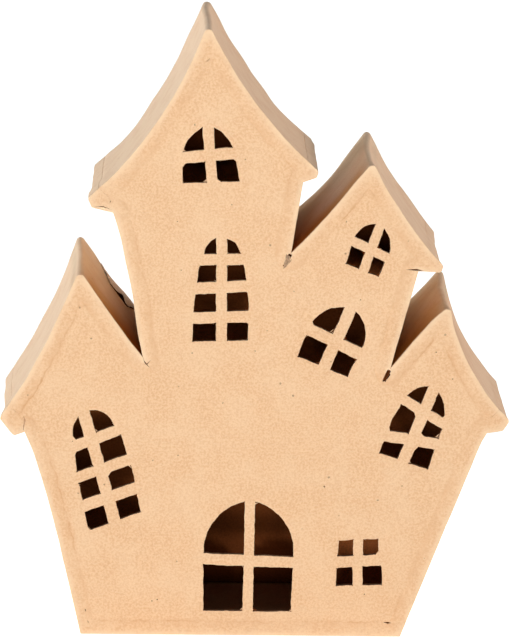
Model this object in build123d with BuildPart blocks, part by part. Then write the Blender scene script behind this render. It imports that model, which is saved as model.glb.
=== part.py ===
from build123d import *
import os
from dataclasses import dataclass
from math import cos, hypot, radians, sin, tan

# A crooked castle folded and glued from cardboard and covered with kraft paper.
# It is a straight prism of its own outline: a front and a back panel, folded strips between them
# for the walls and roofs, a floor, and paper whose edges turn in over the front and the back.
# X runs right and Z up as the front is seen, and the front looks along -Y.

os.makedirs("parts", exist_ok=True)

# Stock
castle_depth = 70.0
front_board = 2.0
back_board = 2.0
floor_board = 2.0
strip_board = 1.5
kraft_paper = 0.3
turn_in = 6.0
eave_lap = 6.0
joint_gap = 0.1
ridge_radius = 1.6
eave_radius = 0.9

# Left gable: wall top, lean of the wall (degrees, right positive), eave, roof
left_wall_x = -96.0
left_wall_height = 88.9
left_wall_lean = -14.6
left_wall_sag = 0.9
left_soffit_reach = 4.6
left_soffit_rise = -1.7
left_end_reach = 5.4
left_end_rise = 7.2
left_ridge_x = -74.7
left_ridge_height = 158.0
left_outer_sag = 1.8
left_inner_sag = 0.4
left_valley_height = 120.0

# Tall tower
tall_left_x = -60.7
tall_left_height = 183.2
tall_left_lean = -12.1
tall_left_soffit_reach = 7.8
tall_left_soffit_rise = 2.1
tall_left_end_reach = 1.2
tall_left_end_rise = 3.5
tall_ridge_x = -22.0
tall_ridge_height = 262.2
tall_left_sag = 5.2
tall_right_sag = 4.0
tall_right_x = 17.8
tall_right_height = 196.8
tall_right_lean = 8.4
tall_right_soffit_reach = 5.6
tall_right_soffit_rise = 1.8
tall_right_end_reach = 0.8
tall_right_end_rise = 2.5

# Middle tower, half hidden behind the tall one
middle_valley_height = 165.8
middle_ridge_x = 45.9
middle_ridge_height = 205.2
middle_inner_sag = 1.3
middle_outer_sag = 1.2
middle_wall_x = 66.5
middle_wall_height = 159.6
middle_wall_lean = 14.4
middle_soffit_reach = 8.8
middle_soffit_rise = -0.3
middle_end_reach = 0.7
middle_end_rise = 2.3

# Right gable
right_valley_height = 116.6
right_ridge_x = 79.2
right_ridge_height = 145.7
right_outer_sag = 4.0
right_wall_x = 96.4
right_wall_height = 90.5
right_wall_lean = 20.6
right_soffit_reach = 6.1
right_soffit_rise = 1.0
right_end_reach = 3.5
right_end_rise = 4.0

# Gaps left open where the front panel was slit at two valleys
valley_slot_width = 1.5
middle_slot_length = 5.6
middle_slot_lean = 24.0
right_slot_length = 5.0
right_slot_lean = 24.0


@dataclass
class Window:
    """A window cut in the front panel, set out from the foot of its upright bar.

    aside and rise place that foot from the ridge, or the middle of the base, that the window goes by.
    Flanks and crown are (aside, up) spots: aside runs along the sloping sill, up along the leaning bar.
    Each crossbar is its height at the upright bar, its thickness and its tilt from the sill.
    """

    aside: float
    rise: float
    lean: float
    slope: float
    upright: float
    left_flank: tuple
    right_flank: tuple
    crown: float
    left_bulge: float
    right_bulge: float
    crossbars: tuple


tall_top_window = Window(
    aside=2.4,
    rise=-66.0,
    lean=-5.1,
    slope=2.5,
    upright=4.6,
    left_flank=((-12.1, 0.0), (-11.6, 9.2)),
    right_flank=((11.4, 0.0), (10.4, 10.7)),
    crown=23.9,
    left_bulge=3.2,
    right_bulge=2.7,
    crossbars=((11.4, 5.0, 3.8),),
)
tall_long_window = Window(
    aside=7.0,
    rise=-133.5,
    lean=-0.3,
    slope=1.5,
    upright=4.6,
    left_flank=((-12.1, 0.0), (-11.6, 14.7), (-9.5, 32.0), (-7.6, 36.8)),
    right_flank=((11.1, 0.0), (11.3, 16.0), (9.5, 31.0), (7.9, 36.4)),
    crown=44.2,
    left_bulge=2.1,
    right_bulge=2.1,
    crossbars=((10.1, 4.9, 0.4), (22.9, 4.9, 2.1), (34.8, 4.8, 0.4)),
)
middle_top_window = Window(
    aside=-2.0,
    rise=-45.9,
    lean=18.3,
    slope=-21.1,
    upright=4.1,
    left_flank=((-8.0, 0.0), (-8.3, 10.2)),
    right_flank=((6.7, 0.0), (7.6, 10.2)),
    crown=20.6,
    left_bulge=2.9,
    right_bulge=2.1,
    crossbars=((9.3, 4.2, -4.7),),
)
middle_low_window = Window(
    aside=-17.7,
    rise=-87.4,
    lean=23.2,
    slope=-22.6,
    upright=5.1,
    left_flank=((-12.1, 0.0), (-12.9, 11.5)),
    right_flank=((10.7, 0.0), (11.2, 13.1)),
    crown=27.5,
    left_bulge=4.2,
    right_bulge=3.8,
    crossbars=((11.8, 5.2, -3.3),),
)
left_window = Window(
    aside=15.4,
    rise=-108.3,
    lean=-15.3,
    slope=21.0,
    upright=5.2,
    left_flank=((-11.9, 0.0), (-10.1, 26.3), (-7.4, 39.8)),
    right_flank=((12.1, 0.0), (13.3, 17.3), (12.8, 35.3), (10.9, 38.2)),
    crown=49.4,
    left_bulge=1.8,
    right_bulge=3.9,
    crossbars=((10.9, 5.1, -1.4), (23.5, 4.8, -0.9), (36.8, 4.8, 0.2)),
)
right_window = Window(
    aside=-16.9,
    rise=-68.3,
    lean=21.0,
    slope=-17.8,
    upright=5.0,
    left_flank=((-10.7, 0.0), (-11.3, 15.6), (-10.1, 23.3)),
    right_flank=((11.0, 0.0), (9.8, 18.8)),
    crown=34.8,
    left_bulge=2.9,
    right_bulge=2.4,
    crossbars=((9.8, 5.0, 9.0), (22.9, 4.5, -13.6)),
)
big_window = Window(
    aside=3.1,
    rise=10.6,
    lean=0.2,
    slope=0.0,
    upright=4.3,
    left_flank=((-19.0, 0.0), (-19.1, 25.5)),
    right_flank=((18.3, 0.0), (18.8, 25.8)),
    crown=49.0,
    left_bulge=5.9,
    right_bulge=5.7,
    crossbars=((22.4, 4.9, -1.8),),
)
small_window = Window(
    aside=49.4,
    rise=22.5,
    lean=0.0,
    slope=1.0,
    upright=4.2,
    left_flank=((-9.1, 0.0), (-8.8, 12.6), (-8.2, 19.8)),
    right_flank=((10.5, 0.0), (10.3, 7.5), (8.9, 11.0), (8.3, 20.6)),
    crown=20.3,
    left_bulge=0.0,
    right_bulge=0.0,
    crossbars=((10.8, 5.0, 2.3),),
)


def down_wall(top, lean, height):
    """The spot of a leaning wall at a height, worked out from the wall's top."""
    return (top[0] - (top[1] - height) * tan(radians(lean)), height)


def moved(spot, aside, up):
    return (spot[0] + aside, spot[1] + up)


# Corners of the board outline, clockwise from the left foot
left_wall_top = (left_wall_x, left_wall_height)
left_foot = down_wall(left_wall_top, left_wall_lean, kraft_paper)
left_soffit = moved(left_wall_top, -left_soffit_reach, left_soffit_rise)
left_eave = moved(left_soffit, -left_end_reach, left_end_rise)
left_ridge = (left_ridge_x, left_ridge_height)

tall_left_top = (tall_left_x, tall_left_height)
left_valley = down_wall(tall_left_top, tall_left_lean, left_valley_height)
tall_left_soffit = moved(tall_left_top, -tall_left_soffit_reach, tall_left_soffit_rise)
tall_left_eave = moved(tall_left_soffit, -tall_left_end_reach, tall_left_end_rise)
tall_ridge = (tall_ridge_x, tall_ridge_height)
tall_right_top = (tall_right_x, tall_right_height)
tall_right_soffit = moved(tall_right_top, tall_right_soffit_reach, tall_right_soffit_rise)
tall_right_eave = moved(tall_right_soffit, tall_right_end_reach, tall_right_end_rise)

middle_valley = down_wall(tall_right_top, tall_right_lean, middle_valley_height)
middle_ridge = (middle_ridge_x, middle_ridge_height)
middle_wall_top = (middle_wall_x, middle_wall_height)
middle_soffit = moved(middle_wall_top, middle_soffit_reach, middle_soffit_rise)
middle_eave = moved(middle_soffit, middle_end_reach, middle_end_rise)

right_valley = down_wall(middle_wall_top, middle_wall_lean, right_valley_height)
right_ridge = (right_ridge_x, right_ridge_height)
right_wall_top = (right_wall_x, right_wall_height)
right_soffit = moved(right_wall_top, right_soffit_reach, right_soffit_rise)
right_eave = moved(right_soffit, right_end_reach, right_end_rise)
right_foot = down_wall(right_wall_top, right_wall_lean, kraft_paper)

base_middle = ((left_foot[0] + right_foot[0]) / 2, 0.0)
front_plane = Plane.XZ.offset(castle_depth / 2)
back_plane = Plane.XZ.offset(-castle_depth / 2)
front_panel_plane = front_plane.offset(-kraft_paper)
back_panel_plane = back_plane.offset(kraft_paper)
strip_plane = front_panel_plane.offset(-front_board)
strip_depth = castle_depth - 2 * kraft_paper - front_board - back_board


def curved(start, end, bulge):
    """A shallow arc whose middle stands to the left of the way from start to end, or right if negative."""
    run = (end[0] - start[0], end[1] - start[1])
    length = hypot(*run)
    middle = ((start[0] + end[0]) / 2, (start[1] + end[1]) / 2)
    if bulge:
        return ThreePointArc(start, moved(middle, -run[1] * bulge / length, run[0] * bulge / length), end)
    return Line(start, end)


# The sides of the board outline, clockwise: start, end, and how far the middle sags inward
side_runs = {
    "floor": (right_foot, left_foot, 0.0),
    "left_wall": (left_foot, left_wall_top, left_wall_sag),
    "left_soffit": (left_wall_top, left_soffit, 0.0),
    "left_end": (left_soffit, left_eave, 0.0),
    "left_outer_slope": (left_eave, left_ridge, left_outer_sag),
    "left_inner_slope": (left_ridge, left_valley, left_inner_sag),
    "tall_left_wall": (left_valley, tall_left_top, 0.0),
    "tall_left_soffit": (tall_left_top, tall_left_soffit, 0.0),
    "tall_left_end": (tall_left_soffit, tall_left_eave, 0.0),
    "tall_left_slope": (tall_left_eave, tall_ridge, tall_left_sag),
    "tall_right_slope": (tall_ridge, tall_right_eave, tall_right_sag),
    "tall_right_end": (tall_right_eave, tall_right_soffit, 0.0),
    "tall_right_soffit": (tall_right_soffit, tall_right_top, 0.0),
    "tall_right_wall": (tall_right_top, middle_valley, 0.0),
    "middle_inner_slope": (middle_valley, middle_ridge, middle_inner_sag),
    "middle_outer_slope": (middle_ridge, middle_eave, middle_outer_sag),
    "middle_end": (middle_eave, middle_soffit, 0.0),
    "middle_soffit": (middle_soffit, middle_wall_top, 0.0),
    "middle_wall": (middle_wall_top, right_valley, 0.0),
    "right_inner_slope": (right_valley, right_ridge, 0.0),
    "right_outer_slope": (right_ridge, right_eave, right_outer_sag),
    "right_end": (right_eave, right_soffit, 0.0),
    "right_soffit": (right_soffit, right_wall_top, 0.0),
    "right_wall": (right_wall_top, right_foot, 0.0),
}

# The roof slopes that end in an eave, and whether the way round the outline meets the eave first
eave_first = {
    "left_outer_slope": True,
    "tall_left_slope": True,
    "tall_right_slope": False,
    "middle_outer_slope": False,
    "right_outer_slope": False,
}

ridges = (left_ridge, tall_ridge, middle_ridge, right_ridge)
eave_corners = (
    left_soffit,
    left_eave,
    tall_left_soffit,
    tall_left_eave,
    tall_right_eave,
    tall_right_soffit,
    middle_eave,
    middle_soffit,
    right_eave,
    right_soffit,
)


def corners_at(sketch, spots):
    """The corners of a sketch that stand at the given spots."""
    return [sketch.vertices().sort_by_distance(spot)[0] for spot in spots]


# The board outline
sides = {}
with BuildSketch() as outline:
    with BuildLine():
        for name, (start, end, sag) in side_runs.items():
            sides[name] = curved(start, end, -sag)
    make_face()
    fillet(corners_at(outline, ridges), ridge_radius)
    fillet(corners_at(outline, eave_corners), eave_radius)


def knife(spot, towards, width, reach):
    """A straight cut in the open sketch through a spot: how far it reaches behind it, and how far
    towards another spot.
    """
    run = (towards[0] - spot[0], towards[1] - spot[1])
    length = hypot(*run)
    ahead = (run[0] / length, run[1] / length)
    aside = (-ahead[1] * width / 2, ahead[0] * width / 2)
    near = moved(spot, -ahead[0] * reach[0], -ahead[1] * reach[0])
    far = moved(spot, ahead[0] * reach[1], ahead[1] * reach[1])
    Polygon(
        moved(near, *aside),
        moved(far, *aside),
        moved(far, -aside[0], -aside[1]),
        moved(near, -aside[0], -aside[1]),
        align=None,
        mode=Mode.SUBTRACT,
    )


def inward(before, corner, after):
    """A spot on the line that halves the corner, on the right of the way round the outline."""
    arriving = Vector(corner[0] - before[0], corner[1] - before[1]).normalized()
    leaving = Vector(after[0] - corner[0], after[1] - corner[1]).normalized()
    along = (arriving + leaving).normalized()
    return (corner[0] + along.Y, corner[1] - along.X)


def across(side, travel, depth):
    """The spot at a distance along a side, and the spot at a depth straight inward of it."""
    spot = side.position_at(travel, position_mode=PositionMode.LENGTH)
    heading = side.tangent_at(travel, position_mode=PositionMode.LENGTH)
    return (spot.X, spot.Y), (spot.X + heading.Y * depth, spot.Y - heading.X * depth)


def from_eave(name, near, far):
    """The stretch of a roof slope between two distances from its eave: side, begin and end."""
    slope = sides[name]
    if eave_first[name]:
        return slope, near, far
    return slope, slope.length - far, slope.length - near


def lap_joint(name):
    """Where the papers of a wall and a roof part on a slope: a spot, and a spot inward of it."""
    slope, _, travel = from_eave(name, eave_lap, eave_lap)
    return across(slope, travel, turn_in)


# Joints between papers: each is a spot on the outline and a spot inward of it
foot_joints = [
    (left_foot, inward(right_foot, left_foot, left_wall_top)),
    (right_foot, inward(right_wall_top, right_foot, left_foot)),
]
valley_joints = [
    (left_valley, inward(left_ridge, left_valley, tall_left_top)),
    (middle_valley, inward(tall_right_top, middle_valley, middle_ridge)),
    (right_valley, inward(middle_wall_top, right_valley, right_ridge)),
]
lap_joints = [lap_joint(name) for name in eave_first]

# Paper seen end on, lying against the boards all round
paper_reach = 2 * kraft_paper
with BuildSketch() as wrap_ring:
    add(outline.sketch)
    offset(amount=kraft_paper, mode=Mode.REPLACE)
    add(outline.sketch, mode=Mode.SUBTRACT)
    for joint in foot_joints + valley_joints + lap_joints:
        knife(*joint, joint_gap, (turn_in, paper_reach))

# Boards seen end on: the floor, and the folded strips that stand on it
floor_top = kraft_paper + floor_board
strip_reach = 2 * strip_board
with BuildSketch() as floor_section:
    add(outline.sketch)
    split(bisect_by=Plane.XZ.offset(-floor_top), keep=Keep.TOP)
with BuildSketch() as hollow:
    add(outline.sketch)
    offset(amount=-strip_board, mode=Mode.REPLACE)
with BuildSketch() as strip_ring:
    add(outline.sketch)
    add(hollow.sketch, mode=Mode.SUBTRACT)
    add(floor_section.sketch, mode=Mode.SUBTRACT)
    for joint in valley_joints:
        knife(*joint, joint_gap, (strip_reach, strip_reach))


def nearest_face(sketch, spot):
    return sketch.faces().sort_by_distance((spot[0], spot[1], 0))[0]


def window_border(window, foot):
    """The sides, the arched head and the sill of a window, as one closed line."""

    def spot(aside, up):
        slope = radians(window.slope)
        lean = radians(window.lean)
        return moved(foot, aside * cos(slope) + up * sin(lean), aside * sin(slope) + up * cos(lean))

    left = [spot(*station) for station in window.left_flank]
    right = [spot(*station) for station in window.right_flank]
    crown = spot(0.0, window.crown)
    with BuildLine() as border:
        Polyline(*left)
        curved(left[-1], crown, window.left_bulge)
        curved(crown, right[-1], window.right_bulge)
        Polyline(*reversed(right), left[0])
    return border.edges(), spot


def window_panes(window, anchor):
    """Cuts the panes of a window in the open sketch: its border, less its upright bar and crossbars."""
    foot = moved(anchor, window.aside, window.rise)
    border, spot = window_border(window, foot)
    wide = window.right_flank[0][0] - window.left_flank[0][0]
    half = window.upright / 2
    make_face(border)
    Polygon(
        spot(-half, -wide),
        spot(-half, window.crown + wide),
        spot(half, window.crown + wide),
        spot(half, -wide),
        align=None,
        mode=Mode.SUBTRACT,
    )
    for height, thickness, tilt in window.crossbars:
        climb = wide * tan(radians(tilt))
        Polygon(
            spot(-wide, height - thickness / 2 - climb),
            spot(-wide, height + thickness / 2 - climb),
            spot(wide, height + thickness / 2 + climb),
            spot(wide, height - thickness / 2 + climb),
            align=None,
            mode=Mode.SUBTRACT,
        )


windows = (
    (tall_top_window, tall_ridge),
    (tall_long_window, tall_ridge),
    (middle_top_window, middle_ridge),
    (middle_low_window, middle_ridge),
    (left_window, left_ridge),
    (right_window, right_ridge),
    (big_window, base_middle),
    (small_window, base_middle),
)
slots = (
    (middle_valley, middle_slot_lean, middle_slot_length),
    (right_valley, right_slot_lean, right_slot_length),
)


def valley_slots():
    """Cuts the gaps left open at two valleys in the open sketch."""
    for valley, lean, length in slots:
        below = moved(valley, -sin(radians(lean)), -cos(radians(lean)))
        knife(valley, below, valley_slot_width, (kraft_paper, length))


# Boards
with BuildPart() as front_panel:
    with BuildSketch(front_panel_plane):
        add(outline.sketch)
        valley_slots()
    extrude(amount=-front_board)
    for window, anchor in windows:
        with BuildSketch(front_panel_plane):
            window_panes(window, anchor)
        extrude(amount=-front_board, mode=Mode.SUBTRACT)
front_panel.part.label = "front_panel"
export_step(front_panel.part, "parts/front_panel.step")

with BuildPart() as back_panel:
    with BuildSketch(back_panel_plane):
        add(outline.sketch)
    extrude(amount=back_board)
back_panel.part.label = "back_panel"
export_step(back_panel.part, "parts/back_panel.step")

with BuildPart() as floor_panel:
    with BuildSketch(strip_plane):
        add(floor_section.sketch)
    extrude(amount=-strip_depth)
floor_panel.part.label = "floor_panel"
export_step(floor_panel.part, "parts/floor_panel.step")

strip_spots = {
    "left_gable_strip": left_ridge,
    "tall_tower_strip": tall_ridge,
    "middle_tower_strip": middle_ridge,
    "right_gable_strip": right_ridge,
}
for name, spot in strip_spots.items():
    with BuildPart() as strip:
        with BuildSketch(strip_plane):
            add(nearest_face(strip_ring.sketch, spot))
        extrude(amount=-strip_depth)
    strip.part.label = name
    export_step(strip.part, f"parts/{name}.step")


def turned_band(side, begin, end):
    """Adds to the open sketch the paper turned in over a panel along a stretch of a side."""
    rungs = [across(side, travel, turn_in) for travel in (begin, (begin + end) / 2, end)]
    with BuildLine() as border:
        for spots in zip(*rungs):
            if side.geom_type == GeomType.LINE:
                Line(spots[0], spots[-1])
            else:
                ThreePointArc(*spots)
        Line(*rungs[0])
        Line(*rungs[-1])
    make_face(border.edges())


@dataclass
class Paper:
    """A sheet of kraft paper glued round some sides of the outline.

    spot is on the outline where the sheet lies. The sheet covers whole sides, and of a roof slope with
    an eave either the lap next to that eave or the rest of the slope. Its turned edge spreads out
    round the corners where the outline turns inwards.
    """

    spot: tuple
    whole: tuple
    laps: tuple = ()
    rests: tuple = ()
    spreads: tuple = ()

    def stretches(self):
        half_gap = joint_gap / 2
        found = [(sides[name], 0.0, sides[name].length) for name in self.whole]
        found += [from_eave(name, 0.0, eave_lap - half_gap) for name in self.laps]
        found += [from_eave(name, eave_lap + half_gap, sides[name].length) for name in self.rests]
        return found


# Papers, in the order that their turned edges take their place: each later one stops at the earlier
papers = {
    "floor_paper": Paper(base_middle, ("floor",)),
    "left_wall_paper": Paper(
        left_wall_top,
        ("left_wall", "left_soffit", "left_end"),
        laps=("left_outer_slope",),
        spreads=(left_wall_top,),
    ),
    "tall_left_wall_paper": Paper(
        tall_left_top,
        ("tall_left_wall", "tall_left_soffit", "tall_left_end"),
        laps=("tall_left_slope",),
        spreads=(left_valley, tall_left_top),
    ),
    "tall_right_wall_paper": Paper(
        tall_right_top,
        ("tall_right_end", "tall_right_soffit", "tall_right_wall"),
        laps=("tall_right_slope",),
        spreads=(tall_right_top, middle_valley),
    ),
    "middle_wall_paper": Paper(
        middle_wall_top,
        ("middle_end", "middle_soffit", "middle_wall"),
        laps=("middle_outer_slope",),
        spreads=(middle_wall_top, right_valley),
    ),
    "right_wall_paper": Paper(
        right_wall_top,
        ("right_end", "right_soffit", "right_wall"),
        laps=("right_outer_slope",),
        spreads=(right_wall_top,),
    ),
    "left_roof_paper": Paper(left_ridge, ("left_inner_slope",), rests=("left_outer_slope",)),
    "tall_roof_paper": Paper(tall_ridge, (), rests=("tall_left_slope", "tall_right_slope")),
    "middle_roof_paper": Paper(middle_ridge, ("middle_inner_slope",), rests=("middle_outer_slope",)),
    "right_roof_paper": Paper(right_ridge, ("right_inner_slope",), rests=("right_outer_slope",)),
}
turned_edges = {}
for name, paper in papers.items():
    with BuildSketch() as turned_edge:
        for stretch in paper.stretches():
            turned_band(*stretch)
        with Locations(*paper.spreads):
            Circle(turn_in)
        add(outline.sketch, mode=Mode.INTERSECT)
        for earlier in turned_edges.values():
            add(earlier, mode=Mode.SUBTRACT)
    turned_edges[name] = turned_edge.sketch

for name, paper in papers.items():
    with BuildPart() as sheet:
        with BuildSketch(front_plane):
            add(nearest_face(wrap_ring.sketch, paper.spot))
        extrude(amount=-castle_depth)
        with BuildSketch(front_plane):
            add(turned_edges[name])
            valley_slots()
        extrude(amount=-kraft_paper)
        with BuildSketch(back_plane):
            add(turned_edges[name])
        extrude(amount=kraft_paper)
    sheet.part.label = name
    export_step(sheet.part, f"parts/{name}.step")
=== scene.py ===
import random
from math import ceil, cos, floor, radians, sin

import bmesh
import bpy
import numpy as np
from bpy.props import FloatProperty, FloatVectorProperty, IntProperty, PointerProperty
from mathutils import Matrix, Vector, noise


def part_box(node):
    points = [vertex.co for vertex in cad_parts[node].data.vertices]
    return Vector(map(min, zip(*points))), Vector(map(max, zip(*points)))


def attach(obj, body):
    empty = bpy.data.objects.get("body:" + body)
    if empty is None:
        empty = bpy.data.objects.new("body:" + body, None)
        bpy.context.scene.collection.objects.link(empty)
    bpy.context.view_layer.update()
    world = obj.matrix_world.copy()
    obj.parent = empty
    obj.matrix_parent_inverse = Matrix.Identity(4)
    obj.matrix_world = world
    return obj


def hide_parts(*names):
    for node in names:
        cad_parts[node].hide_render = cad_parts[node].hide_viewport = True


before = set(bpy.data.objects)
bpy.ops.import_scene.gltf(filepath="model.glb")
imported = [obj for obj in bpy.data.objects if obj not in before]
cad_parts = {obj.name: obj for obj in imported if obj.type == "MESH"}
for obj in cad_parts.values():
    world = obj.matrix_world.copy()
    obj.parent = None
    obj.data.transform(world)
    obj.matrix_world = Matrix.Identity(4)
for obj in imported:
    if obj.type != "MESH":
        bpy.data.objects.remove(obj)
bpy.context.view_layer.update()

bl_info = {
    "name": "Cardboard castle",
    "version": (1, 0, 0),
    "blender": (4, 5, 0),
    "location": "View3D > Sidebar > Castle",
    "description": "Dresses the solids of a cardboard castle in kraft paper and sets its stage",
    "category": "Object",
}

MM = 0.001
FRONT_CARD = "front_panel"
BACK_CARD = "back_panel"
FLOOR_CARD = "floor_panel"
STRIPS = ("left_gable_strip", "tall_tower_strip", "middle_tower_strip", "right_gable_strip")
PAPERS = (
    "floor_paper", "left_wall_paper", "left_roof_paper", "tall_left_wall_paper", "tall_roof_paper",
    "tall_right_wall_paper", "middle_roof_paper", "middle_wall_paper", "right_roof_paper", "right_wall_paper",
)
TORN_STRIP = "left_gable_strip"
TORN_PAPER = "left_roof_paper"
SLOTTED_PAPERS = ("middle_wall_paper", "right_roof_paper")

# From here to the settings, lengths are in millimetres
FRONT = -35.0
REAR = 35.0
ORIGIN = (0.0, 0.0, 0.0)
SMOOTH_UP_TO = radians(32)
SHARP_FROM = radians(35)
PAPER = 0.3
# How near two places are that count as one, on a fold or a pane and on a rim
TOUCHING = 0.02
ALONGSIDE = 0.05
# How deep a cut goes that has to pass the front board, or its paper alone
BOARD_CUT = 3.0
PAPER_CUT = 0.6
# Between these depths behind the board's face, the sides of a slit are raw board
RAW_IN_SLIT = (0.4, 1.4)
# A pane's edge is divided from this length on. What is near it moves along, in waves of two lengths
PANE_PART = 1.1
PANE_REACH = 1.8
PANE_WAVES = (2.5, 1.1)
OVERCUT_REACH = 1.3
# How far from the outline a turned edge starts to wander, and to be pressed down
WANDERS_FROM = 4.0
PRESSED_FROM = 5.4
MARGIN_WAVE = 7.0
# The torn lap stands up fully this far in front of the rear fold
LAP_RISE = 14.0
# How far from a slope's line a vertex can lie and be soiled with the slope
SLOPE_BAND = 9.0
FRAYED_RADIUS = (0.05, 0.1)
FRAYED_LENGTH = (0.7, 1.7)

# Spots on the front are (x, z), and spots on the torn slope are (way down from the ridge, y)
# Each valley is its spot, the ridge whose slope runs down into it, the reach of its painted shade,
# how deep from the front the painted edge shade goes, and how grey the painted shade leaves the slope in
# front and at the rear
VALLEYS = (
    ((-47.2, 120.0), (-74.7, 158.0), 34.0, 26.0, 0.45, 0.5),
    ((13.2, 165.8), (45.9, 205.0), 36.0, 22.0, 0.0, 0.7),
    ((55.5, 116.6), (79.2, 145.7), 40.0, 36.0, 0.8, 0.9),
)
# Where the margins of the turned edges show: a spot, a reach and how clearly
SEAMS = (
    ((30.0, 188.0), 24.0, 0.5),
    ((-45.0, 3.0), 34.0, 0.35),
    ((5.0, 3.0), 38.0, 0.3),
    ((50.0, 3.0), 26.0, 0.35),
    ((-86.0, 48.0), 46.0, 0.4),
    ((67.0, 131.0), 20.0, 0.45),
    ((14.0, 206.0), 16.0, 0.3),
    ((-84.0, 138.0), 18.0, 0.45),
    ((-98.0, 111.0), 22.0, 0.6),
    ((86.0, 118.0), 24.0, 0.3),
    ((-50.0, 165.0), 20.0, 0.25),
)
# Where the raw back wall is darker, seen through the windows: a spot, a reach and how much
WALL_SHADES = (
    ((-21.0, 203.0), 19.5, 0.96),
    ((-14.7, 144.0), 27.0, 0.89),
    ((51.0, 162.0), 17.5, 0.86),
    ((37.0, 122.0), 20.0, 0.9),
    ((74.0, 84.0), 20.0, 0.85),
    ((-66.5, 61.0), 27.0, 0.88),
    ((-6.0, 30.0), 34.0, 0.84),
    ((-22.0, 5.0), 28.0, 1.0),
    ((12.0, 5.0), 28.0, 1.0),
    ((50.0, 34.0), 15.0, 0.5),
)
# The torn slope, its sag, the tear with its narrow tail, and the lap that stands up beside it
LEFT_RIDGE = (-74.7, 158.0)
LEFT_VALLEY = (-47.15, 120.0)
LEFT_SLOPE_SAG = 0.4
TEAR = (
    (21.4, 16.5), (23.2, 16.2), (25.4, 16.2), (27.3, 15.4), (29.1, 15.9), (30.6, 15.3),
    (32.1, 14.7), (33.9, 17.0), (34.5, 20.9), (33.2, 21.3), (32.0, 23.2), (31.2, 26.6),
    (30.6, 29.4), (28.9, 27.2), (26.8, 22.2), (25.3, 21.3), (23.1, 20.9), (21.5, 19.4),
)
TEAR_TAIL = (
    (33.7, 17.2), (35.5, 21.3), (37.6, 25.9), (39.7, 30.6), (41.6, 36.0), (40.4, 36.0),
    (39.3, 33.4), (37.3, 29.2), (35.4, 24.4), (34.1, 20.8),
)
TORN_LAP = (
    (15.5, 35.2), (16.6, 27.6), (18.4, 19.6), (20.6, 15.9), (22.4, 15.4), (24.6, 15.6),
    (26.1, 16.3), (28.1, 21.2), (29.9, 23.6), (30.4, 20.4), (31.2, 17.5), (32.3, 15.8),
    (33.7, 16.9), (34.7, 19.5), (36.8, 24.6), (38.9, 28.9), (40.3, 32.6), (40.9, 35.2),
)
# Each slit of the front is its begin, its middle, its end and its width
SLITS = (
    ((-96.5, 95.4), (-96.0, 93.6), (-96.7, 88.9), 0.75),
    ((-67.9, 185.5), (-64.4, 185.5), (-61.2, 184.2), 0.35),
    ((-61.9, 186.9), (-61.6, 187.6), (-61.5, 188.3), 0.3),
    ((61.0, 159.9), (65.9, 160.0), (69.0, 159.5), 0.75),
    ((-47.5, 120.3), (-46.6, 118.8), (-44.4, 116.6), 0.5),
    ((-47.6, 118.0), (-45.7, 118.5), (-44.0, 120.3), 0.3),
    ((47.3, 203.6), (48.7, 201.8), (49.8, 199.5), 0.4),
    ((55.4, 6.3), (57.4, 6.0), (59.2, 6.1), 0.75),
    ((-71.4, 11.3), (-71.0, 10.4), (-70.8, 9.4), 0.35),
    ((-70.3, 6.2), (-69.9, 5.3), (-68.8, 4.7), 0.3),
)
OPEN_SLOT = (
    (55.4, 117.0), (56.0, 114.8), (54.9, 113.0), (52.8, 111.5), (53.5, 113.9), (54.2, 115.8),
)
SCRAP = (
    (11.5, 166.2), (13.0, 165.2), (13.9, 163.5), (12.8, 162.1), (10.5, 159.8), (10.7, 162.8),
    (11.2, 164.3),
)
# Each large fleck is (x, z) and its size
FLECKS = (
    (29.3, 66.0, 0.5), (-77.2, 42.1, 0.45), (82.3, 113.3, 0.45), (-34.3, 179.3, 0.3),
    (42.9, 146.9, 0.35), (-77.1, 84.6, 0.3), (-40.7, 15.4, 0.35), (47.3, 18.5, 0.4),
    (92.2, 93.4, 0.4), (-86.0, 70.1, 0.4), (75.0, 124.7, 0.35), (-14.0, 101.9, 0.3),
)
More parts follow.
